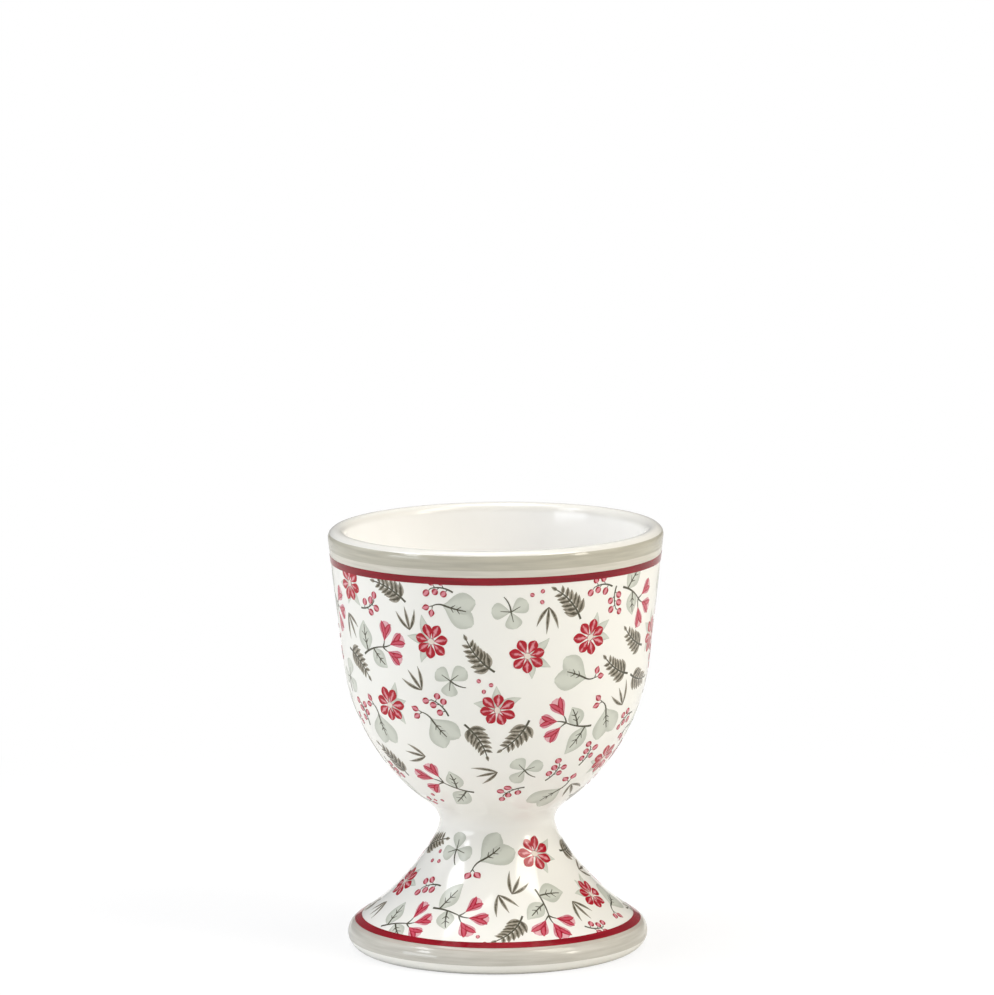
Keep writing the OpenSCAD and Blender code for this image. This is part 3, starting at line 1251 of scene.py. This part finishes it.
@dataclass
class Bowl:
    """The bowl: its outside face, round lip and ball-bottomed hollow, turned as one closed skin."""

    form: CupForm
    around: int = 320  # points round the axis
    face_steps: int = 72  # points up the belly and the wall
    lip_steps: int = 16  # points on the outer half of the lip
    lip_spacing: float = 0.13  # between points on its inner half, in mm
    wall_steps: int = 16  # points down the inner wall
    hollow_spacing: float = 0.9  # between points in the hollow, in mm

    def outline(self) -> np.ndarray:
        """Works out the bowl's section.

        Returns:
            An (n, 2) array of radius and height: from the dish on the axis out along the face,
            over the lip's arc, down the straight inner wall and round the ball's arc to the axis.
        """
        form = self.form
        face = form.bowl_face
        lip_start = face.along_at_height(form.wall_top[1])
        up = np.linspace(0, lip_start, self.face_steps)
        over = np.linspace(lip_start, face.lengths[-1], self.lip_steps)
        outside = np.stack(face.at(np.concatenate([up, over[1:]])), -1)
        inner_lip = arc(form.lip, form.lip_r, UP, math.pi - form.wall_lean, self.lip_spacing)
        hollow = arc(form.hollow, form.hollow_r, -form.wall_lean, DOWN, self.hollow_spacing)
        inner_wall = np.linspace(inner_lip[-1], hollow[0], self.wall_steps)[1:-1]
        seat = [[0.0, form.base_z - form.seat_depth]]
        outline = np.concatenate([seat, outside, inner_lip[1:], inner_wall, hollow])
        outline[-1, 0] = 0.0
        return outline

    def build(self, porcelain: Material, lining: Material) -> None:
        """Turns the section round the axis, with its own finish inside the lip's crest.

        Args:
            porcelain: the finish of the outside.
            lining: the finish of the hollow, a whiter white than the outside that is painted light.
        """
        outline = self.outline()
        points, faces = turned_skin(self.form, outline, self.around)
        piece = Piece("glazed_bowl", points, faces, porcelain, "glazed_white", ("bowl",)).build()
        piece.data.materials.append(lining)
        crest = int(np.argmax(outline[1:-1, 1]))
        # Rows of quads come first, then the fan in the dish and the fan at the hollow's floor.
        row = np.arange(len(faces)) // self.around
        dish = len(outline) - 3
        inside = (row >= crest) & (row != dish)
        piece.data.polygons.foreach_set("material_index", inside.astype(np.int32))


@dataclass
class Foot:
    """The trumpet foot: stem, flare, rounded edge, bare standing ring and the hollow beneath."""

    form: CupForm
    around: int = 320  # points round the axis
    ring_round: float = 0.5  # radius of the standing ring's inner edge, in mm
    ring_spacing: float = 0.1  # between points on that edge, in mm
    ring_steps: int = 6  # points across the ring
    edge_zone: float = 4.2  # how far along the face the points stand closer, over the edge
    edge_steps: int = 30  # points in that zone
    flare_steps: int = 50  # points from there up the flare and the stem
    hollow_spacing: float = 0.8  # between points in the hollow, in mm
    bare_height: float = 0.04  # faces whose middle is lower are bare, in mm

    def outline(self) -> np.ndarray:
        """Works out the foot's section.

        The hollow follows the flare at the thickness of its wall. Its crown is an arc about the
        axis that touches that arc from outside: their middles are as far apart as both radii.

        Returns:
            An (n, 2) array of radius and height: from the crown on the axis out under the flare,
            across the standing ring, and up the face to the dish on the axis.
        """
        form = self.form
        face = form.foot_face
        ring_out = face.points[0]
        ring_in = ring_out[0] - form.ring_width
        under_r = form.flare_r + form.foot_wall
        drop = form.flare[1] - form.hollow_top
        crown_r = (form.flare[0] ** 2 + drop**2 - under_r**2) / (2 * (under_r - drop))
        crown = np.array([0.0, form.hollow_top - crown_r])
        meet = math.atan2(form.flare[1] - crown[1], form.flare[0])
        under_end = math.acos((form.flare[0] - ring_in) / under_r)
        top = arc(crown, crown_r, UP, meet, self.hollow_spacing)
        under = form.flare - arc(np.zeros(2), under_r, meet, under_end, self.hollow_spacing)
        middle = np.array([ring_in + self.ring_round, self.ring_round])
        rounded = arc(middle, self.ring_round, math.pi, 1.5 * math.pi, self.ring_spacing)
        flat = np.linspace([middle[0], 0.0], ring_out, self.ring_steps)[1:-1]
        edge = np.linspace(0, self.edge_zone, self.edge_steps)
        flare = np.linspace(self.edge_zone, face.lengths[-1], self.flare_steps)
        outside = np.stack(face.at(np.concatenate([edge, flare[1:]])), -1)
        seat = [[0.0, form.foot_top - form.seat_depth]]
        outline = np.concatenate([top, under[1:], rounded, flat, outside, seat])
        outline[0, 0] = 0.0
        return outline

    def build(self, porcelain: Material, biscuit: Material) -> None:
        """Turns the section, and leaves the flat of the standing ring bare.

        Args:
            porcelain: the glazed finish.
            biscuit: the bare finish of the faces that lie on the table.
        """
        points, faces = turned_skin(self.form, self.outline(), self.around)
        piece = Piece("glazed_foot", points, faces, porcelain, "glazed_white_foot", ("foot",)).build()
        piece.data.materials.append(biscuit)
        centres = np.empty(len(piece.data.polygons) * 3)
        piece.data.polygons.foreach_get("center", centres)
        bare = (centres.reshape(-1, 3)[:, 2] < self.bare_height * MM).astype(np.int32)
        piece.data.polygons.foreach_set("material_index", bare)


@dataclass
class Joint:
    """The fired slip between stem and bowl, sponged to a small fillet in the crease. In mm."""

    form: CupForm
    fillet: float = 2.2  # how far the fillet runs up and down the faces
    sunk: float = 0.006  # how deep its edges lie under the glaze
    feel: float = 0.1  # stretch of a face that gives its direction
    inset: float = 0.3  # how far the hidden section stays inside the stem and the base
    below: float = 0.1  # how far it stays under the stem's top
    steps: int = 17  # points on the fillet
    around: int = 256  # points round the axis

    def build(self, slip: Material) -> None:
        """Turns a section of the dish with a hollow fillet along its outer edge.

        The fillet is a curve of the second degree from the stem to the belly: (1 - t) squared
        times its start, 2 t (1 - t) times its corner and t squared times its end. The corner lies
        where the lines on from both faces meet, so it leaves each face without a crease.

        Args:
            slip: the finish.
        """
        form = self.form
        stem, belly = form.foot_face, form.bowl_face
        start, before = (
            np.array(stem.at(stem.lengths[-1] - self.fillet - back, -self.sunk))
            for back in (0.0, self.feel)
        )
        end, after = (np.array(belly.at(self.fillet + on, -self.sunk)) for on in (0.0, self.feel))
        run = np.stack([start - before, after - end], -1)
        corner = start + np.linalg.solve(run, end - start)[0] * (start - before)
        t = np.linspace(0, 1, self.steps)[:, None]
        fillet = (1 - t) ** 2 * start + 2 * t * (1 - t) * corner + t**2 * end
        dish = [
            [0.0, form.foot_top - form.seat_depth],
            [form.waist_r - self.inset, form.foot_top - self.below],
        ]
        base = [[form.base_r - self.inset, form.base_z], [0.0, form.base_z - form.seat_depth]]
        points, faces = turned_skin(form, np.concatenate([dish, fillet, base]), self.around)
        Piece("slip_fillet", points, faces, slip, "fired_slip", ("slip_joint",)).build()


@dataclass
class Band:
    """A colour banded round the cup: a thin closed ring on the face, with slightly uneven edges."""

    name: str
    form: CupForm
    face: Face
    low: float  # where it starts along the face, in mm
    high: float  # where it ends
    lift: float  # its height over the glaze, in mm
    seed: int

    SINK: ClassVar[float] = 0.08  # how deep its underside lies in the glaze, in mm
    WANDER: ClassVar[float] = 0.035  # height of the slowest wave of its edges, in mm
    WAVES: ClassVar[tuple[int, ...]] = (1, 2, 3, 5, 8, 13)  # waves in a round
    ACROSS: ClassVar[int] = 9  # points across its face
    CORNER: ClassVar[float] = 0.015  # share of its width that each sloping corner takes
    AROUND: ClassVar[int] = 400  # sections round the cup

    def edge(self, angle: np.ndarray, dice: np.random.Generator) -> np.ndarray:
        """How far an edge wanders.

        Args:
            angle: angles round the cup.
            dice: gives each wave its chance phase.

        Returns:
            Distances in mm: a sum of cosines whose heights fall with the waves in a round to the
            power 0.7.
        """
        waves = [np.cos(k * angle + math.tau * dice.random()) / k**0.7 for k in self.WAVES]
        return self.WANDER * np.sum(waves, axis=0)

    def build(self, material: Material, slot: str, node: str) -> None:
        """Carries a flat section with sloping corners round the cup.

        Args:
            material: the band's glaze.
            slot: the record's slot.
            node: the CAD node that this band stands for.
        """
        dice = np.random.default_rng(self.seed)
        angle = np.linspace(0, math.tau, self.AROUND, endpoint=False)[None]
        low = self.low + self.edge(angle, dice)
        high = self.high + self.edge(angle, dice)
        across = np.linspace(self.CORNER, 1 - self.CORNER, self.ACROSS)
        share = np.concatenate([[0.0], across, [1.0, 1.0, 0.0]])[:, None]
        top = np.full(self.ACROSS, self.lift)
        out = np.concatenate([[0.0], top, [0.0, -self.SINK, -self.SINK]])[:, None]
        r, z = self.face.at(low + (high - low) * share, out)
        points = self.form.hand(turned(r, z, angle))
        faces = grid_quads(len(share), self.AROUND, wrap_rows=True).tolist()
        Piece(self.name, points.reshape(-1, 3), faces, material, slot, (node,)).build()


@dataclass
class Bands:
    """The six bands: grey, pale and red below the lip, and red, pale and grey round the foot."""

    form: CupForm
    under: float = 0.12  # how far a margin runs under its neighbours, in mm
    creep: float = 0.22  # how much further the rim band climbs the lip than its node, in mm

    SEED: ClassVar[int] = 40

    def build(self, finishes: dict[str, Material]) -> None:
        """Places each band between the heights at which its CAD node's face starts and ends.

        Args:
            finishes: the glaze of each band, by its CAD node.
        """
        low, high = self.form.low, self.form.high
        # The slot, the height over the glaze and the spill at each edge, in mm. The red line lies
        # over the margin's edge and the print's.
        kinds = {
            "band": ("grey_glaze", 0.03, 0.0),
            "margin": ("pale_glaze", 0.02, self.under),
            "line": ("red_enamel", 0.06, 0.0),
        }
        rim = ("rim_line", "rim_margin", "rim_band")
        foot = ("foot_band", "foot_margin", "foot_line")
        rim_heights = [low[node].z for node in rim] + [high["rim_band"].z]
        foot_heights = [low["foot_band"].z] + [high[node].z for node in foot]
        for face, heights, nodes, creep in (
            (self.form.bowl_face, rim_heights, rim, self.creep),
            (self.form.foot_face, foot_heights, foot, 0.0),
        ):
            edges = [face.along_at_height(z) for z in heights]
            edges[-1] += creep
            for start, end, node in zip(edges, edges[1:], nodes):
                slot, lift, spill = kinds[node.split("_")[1]]
                seed = self.SEED + len(node)
                band = Band(f"fired_{node}", self.form, face, start - spill, end + spill, lift, seed)
                band.build(finishes[node], slot, node)


@dataclass(frozen=True)
class SoftBox:
    """A soft lamp that faces the cup."""

    name: str
    azimuth: float  # degrees round from the camera's side, with the right side positive
    elevation: float  # degrees above level
    size: tuple[float, float]  # width and height, in mm
    watts: float
    tint: str

    def light(self, distance: float, middle: float) -> None:
        """Hangs the lamp.

        Args:
            distance: how far it is from the cup's middle, in mm.
            middle: height of that middle, in mm.
        """
        data = bpy.data.lights.new(self.name, "AREA")
        data.shape = "RECTANGLE"
        data.size, data.size_y = (side * MM for side in self.size)
        data.energy = self.watts
        data.color = linear(self.tint)[:3]
        lamp = bpy.data.objects.new(self.name, data)
        a, e = math.radians(self.azimuth), math.radians(self.elevation)
        back = Vector((math.sin(a) * math.cos(e), -math.cos(a) * math.cos(e), math.sin(e)))
        turn = (-back).to_track_quat("-Z", "Y").to_matrix().to_4x4()
        place = Vector((0.0, 0.0, middle * MM)) + back * distance * MM
        lamp.matrix_world = Matrix.Translation(place) @ turn
        bpy.context.scene.collection.objects.link(lamp)


# Tints of the light from the left, from the right, and from above and below.
COOL, WARM, PLAIN = "F6FAFF", "FFF9EC", "FBFCFF"
SOFT_BOXES = (
    SoftBox("left_box", -62, 8, (460, 240), 1.6, COOL),
    SoftBox("left_window", -63, 30, (160, 190), 0.8, COOL),
    SoftBox("left_high_box", -80, 49, (280, 220), 1.5, COOL),
    SoftBox("left_side_box", -104, 22, (380, 520), 0.5, "FDFBF6"),
    SoftBox("right_box", 72, 26, (640, 600), 1.6, WARM),
    SoftBox("right_window", 61, 22, (150, 220), 1.0, WARM),
    SoftBox("right_high_box", 60, 50, (360, 360), 2.4, WARM),
    SoftBox("top_box", -140, 84, (560, 560), 4.3, PLAIN),
    SoftBox("high_box", 60, 66, (450, 450), 0.8, WARM),
    SoftBox("under_box", 30, -70, (560, 560), 5.0, PLAIN),
)


@dataclass
class Studio:
    """Camera, soft lamps and a plain pale floor. Distances are in mm."""

    form: CupForm
    image_side: float = 995.0  # the photograph's longer side, in pixels
    pixels_per_mm: float = 6.709  # at the distance of the aim
    distance: float = 950.0  # of the camera from its aim
    elevation: float = math.radians(8.68)  # of the camera above level
    roll: float = math.radians(0.3)
    aim: tuple[float, float, float] = (0.23, 0.0, 67.9)
    sensor: float = 36.0
    lamp_distance: float = 900.0  # of every lamp from the cup's middle
    sky: str = "FDFDFF"
    sky_light: float = 0.2  # strength of the light that the surround gives the cup
    paper: str = "E6E6E4"  # what the floor gives the cup
    near_paper: str = "FAFAFA"  # what the camera sees of it round the cup
    wide: float = 3000.0  # radius of the floor
    corners: int = 128  # points round its edges
    drop: float = 0.02  # how far it lies under the standing ring
    keep: float = 0.22  # share of the lit paper in what the camera sees near the cup
    near: float = 70.0  # distance from the axis up to which that share holds
    far: float = 170.0  # distance from which all is plain white

    def camera(self) -> None:
        """Puts the camera at its distance and elevation from the point that it aims at.

        Its lens is the scale in pixels a millimetre times the distance, as a share of the image's
        side, times the sensor.
        """
        data = bpy.data.cameras.new("camera")
        data.sensor_width = self.sensor
        data.lens = self.pixels_per_mm * self.distance * self.sensor / self.image_side
        data.dof.use_dof = False
        data.clip_start, data.clip_end = 0.01, 20.0  # in metres, past the floor's edge
        camera = bpy.data.objects.new("camera", data)
        back = Vector((0.0, -math.cos(self.elevation), math.sin(self.elevation)))
        turn = (-back).to_track_quat("-Z", "Y").to_matrix() @ Matrix.Rotation(-self.roll, 3, "Z")
        place = (Vector(self.aim) + back * self.distance) * MM
        camera.matrix_world = Matrix.Translation(place) @ turn.to_4x4()
        bpy.context.scene.collection.objects.link(camera)
        bpy.context.scene.camera = camera

    def world(self) -> None:
        """A dim pale surround that the camera sees as plain white."""
        world = bpy.data.worlds.new("surround")
        world.use_nodes = True
        tree = world.node_tree
        tree.nodes.clear()
        path = add_node(tree, "LightPath").outputs["Is Camera Ray"]
        seen = add_node(tree, "Background", {"Color": WHITE, "Strength": 1.0})
        gives = add_node(tree, "Background", {"Color": linear(self.sky), "Strength": self.sky_light})
        mix = add_node(tree, "MixShader", {0: path, 1: gives.outputs[0], 2: seen.outputs[0]})
        add_node(tree, "OutputWorld", {"Surface": mix.outputs[0]})
        bpy.context.scene.world = world

    def floor(self) -> None:
        """Lays a pale round floor that keeps the cup's soft shadow, and is white away from it.

        From below it is clear and open under the standing ring, so that the cup's underside shows.
        """
        mesh = bpy.data.meshes.new("floor")
        angle = np.linspace(0, math.tau, self.corners, endpoint=False)
        ring = np.array([self.form.foot_face.points[0, 0], self.wide])[:, None]
        points = turned(ring, np.full((2, 1), -self.drop), angle[None]) * MM
        mesh.from_pydata(points.reshape(-1, 3), [], grid_quads(2, len(angle))[:, ::-1].tolist())
        mesh.materials.append(self.matt_paper())
        floor = bpy.data.objects.new("floor", mesh)
        bpy.context.scene.collection.objects.link(floor)

    def matt_paper(self) -> Material:
        """Matt white paper, which gives the eye nothing but the cup's shadow.

        Returns:
            The material. The camera sees lit paper mixed with plain white, and the share of the
            paper falls to nothing by a smooth step on the distance from the axis.
        """
        material, tree = new_tree("matt white paper")
        path = add_node(tree, "LightPath").outputs["Is Camera Ray"]
        coords = add_node(tree, "TexCoord").outputs["Object"]
        away = add_node(tree, "VectorMath", {0: coords}, operation="LENGTH").outputs["Value"]
        ends = {"From Min": self.near * MM, "From Max": self.far * MM, "To Min": self.keep, "To Max": 0.0}
        share = add_node(tree, "MapRange", {"Value": away, **ends}, interpolation_type="SMOOTHSTEP")
        lit = add_node(tree, "BsdfDiffuse", {"Color": linear(self.near_paper)})
        paper = add_node(tree, "BsdfDiffuse", {"Color": linear(self.paper)})
        white = add_node(tree, "Emission", {"Color": WHITE, "Strength": 1.0})
        both = add_node(tree, "MixShader", {0: share.outputs[0], 1: white.outputs[0], 2: lit.outputs[0]})
        mix = add_node(tree, "MixShader", {0: path, 1: paper.outputs[0], 2: both.outputs[0]})
        below = add_node(tree, "NewGeometry").outputs["Backfacing"]
        clear = add_node(tree, "BsdfTransparent")
        sheet = add_node(tree, "MixShader", {0: below, 1: mix.outputs[0], 2: clear.outputs[0]})
        add_node(tree, "OutputMaterial", {"Surface": sheet.outputs[0]})
        return material

    def build(self) -> None:
        """Sets up the camera, the surround, the floor and the soft boxes."""
        self.camera()
        self.world()
        self.floor()
        for box in SOFT_BOXES:
            box.light(self.lamp_distance, self.form.top / 2)
        bpy.context.scene.view_settings.view_transform = "Standard"


def glazes() -> dict[str, Material]:
    """The bands' glazes, with those on the foot a little paler than those on the rim; the rim's red line is
    darker than the foot's as painted shade.

    Returns:
        A material for each CAD node that is a band. The greys give the eye soft brushed colour,
        and the red lines a deep one with a duller shine, as red enamel has.
    """
    enamel = ClearGlaze(shine=0.32)
    finishes = {
        "rim_band": BandedGlaze("dove grey banded glaze", "B3AFA1", "C0BCAD"),
        "rim_margin": BandedGlaze("pale grey banded glaze", "CDC9BD", "D9D5CA"),
        # The rim's red line is the same crimson enamel as the foot's, made darker as painted shade for the
        # shaded upper wall.
        "rim_line": BandedGlaze("crimson banded enamel darkened as painted shade", "7C0719", "920D21", glaze=enamel),
        "foot_line": BandedGlaze("crimson banded enamel", "880A1B", "9C1125", glaze=enamel),
        "foot_margin": BandedGlaze("rosy grey banded glaze", "BBB3AA", "C7BFB6"),
        "foot_band": BandedGlaze("pearl grey banded glaze", "C0BDB4", "CECBC3"),
    }
    return {node: finish.material() for node, finish in finishes.items()}


def inks() -> dict[Mark, Material]:
    """The transfer's inks.

    Returns:
        A material for each kind of mark. The blush and the pale leaves give the eye flat soft
        tints. Fern leaves darken towards foot and middle, stems are dark and even, bells are
        outlined, petals are red round a washed-out foot, and berries have a pale spot.
    """
    finishes = {
        Mark.BLUSH: TransferInk("rose transfer ink", "CF8090", "E3AEB6", cut=0.7, grain_share=0.7),
        Mark.SAGE_LEAF: TransferInk("pale sage transfer ink", "C3C6BC", "D2D5CB", cut=0.6, grain=1.2),
        Mark.FERN_LEAF: TransferInk(
            "taupe transfer ink", "A59E90", "524D3F", along=0.35, cut=0.58, blur=0.3, grain_share=0.6
        ),
        Mark.STEM: TransferInk("olive grey transfer ink", "605E50", "4F4D41", grain_share=0.8),
        Mark.BELL: TransferInk("deep crimson transfer ink", "A30D26", "CC5266", cut=0.55, grain=0.7),
        Mark.PETAL: TransferInk(
            "crimson transfer ink", "AE0D25", "E19AA3", along=0.3, cut=0.36, blur=0.22,
            grain=0.7, grain_share=0.6,
        ),
        Mark.BERRY: TransferInk("berry red transfer ink", "9E0D25", "DD8C98", cut=0.5, blur=0.25),
        Mark.EYE: TransferInk("pale eye transfer ink", "8C5A55", "E9DCD2", cut=0.85, blur=0.15),
    }
    return {mark: finish.material() for mark, finish in finishes.items()}


def main() -> None:
    """Builds the studio and every piece of the cup in order."""
    logging.basicConfig(level=logging.INFO, format="%(name)s: %(message)s")
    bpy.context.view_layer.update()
    form = CupForm()
    Studio(form).build()
    porcelain = GlazedPorcelain(crest=form.top).material()
    # The lining is a whiter white than the outside: painted light, for a brighter hollow.
    lining = GlazedPorcelain("lining glaze whitened as painted light", "FAF9F7", "F4F3F0", crest=form.top).material()
    Bowl(form).build(porcelain, lining)
    Foot(form).build(porcelain, BareBiscuit().material())
    Joint(form).build(GlazedPorcelain("glazed slip").material())
    Bands(form).build(glazes())
    colours = inks()
    bowl, foot = form.bowl_face, form.foot_face
    rim_line = bowl.along_at_height(form.low["rim_line"].z)
    foot_line = foot.along_at_height(form.high["foot_line"].z)
    stem_end = foot.lengths[-1] - form.bare_crease
    Transfer("bowl_print", form, bowl, form.bare_crease, rim_line, True, 11).build(colours)
    Transfer("foot_print", form, foot, foot_line, stem_end, False, 23).build(colours)


if __name__ == "__main__":
    main()
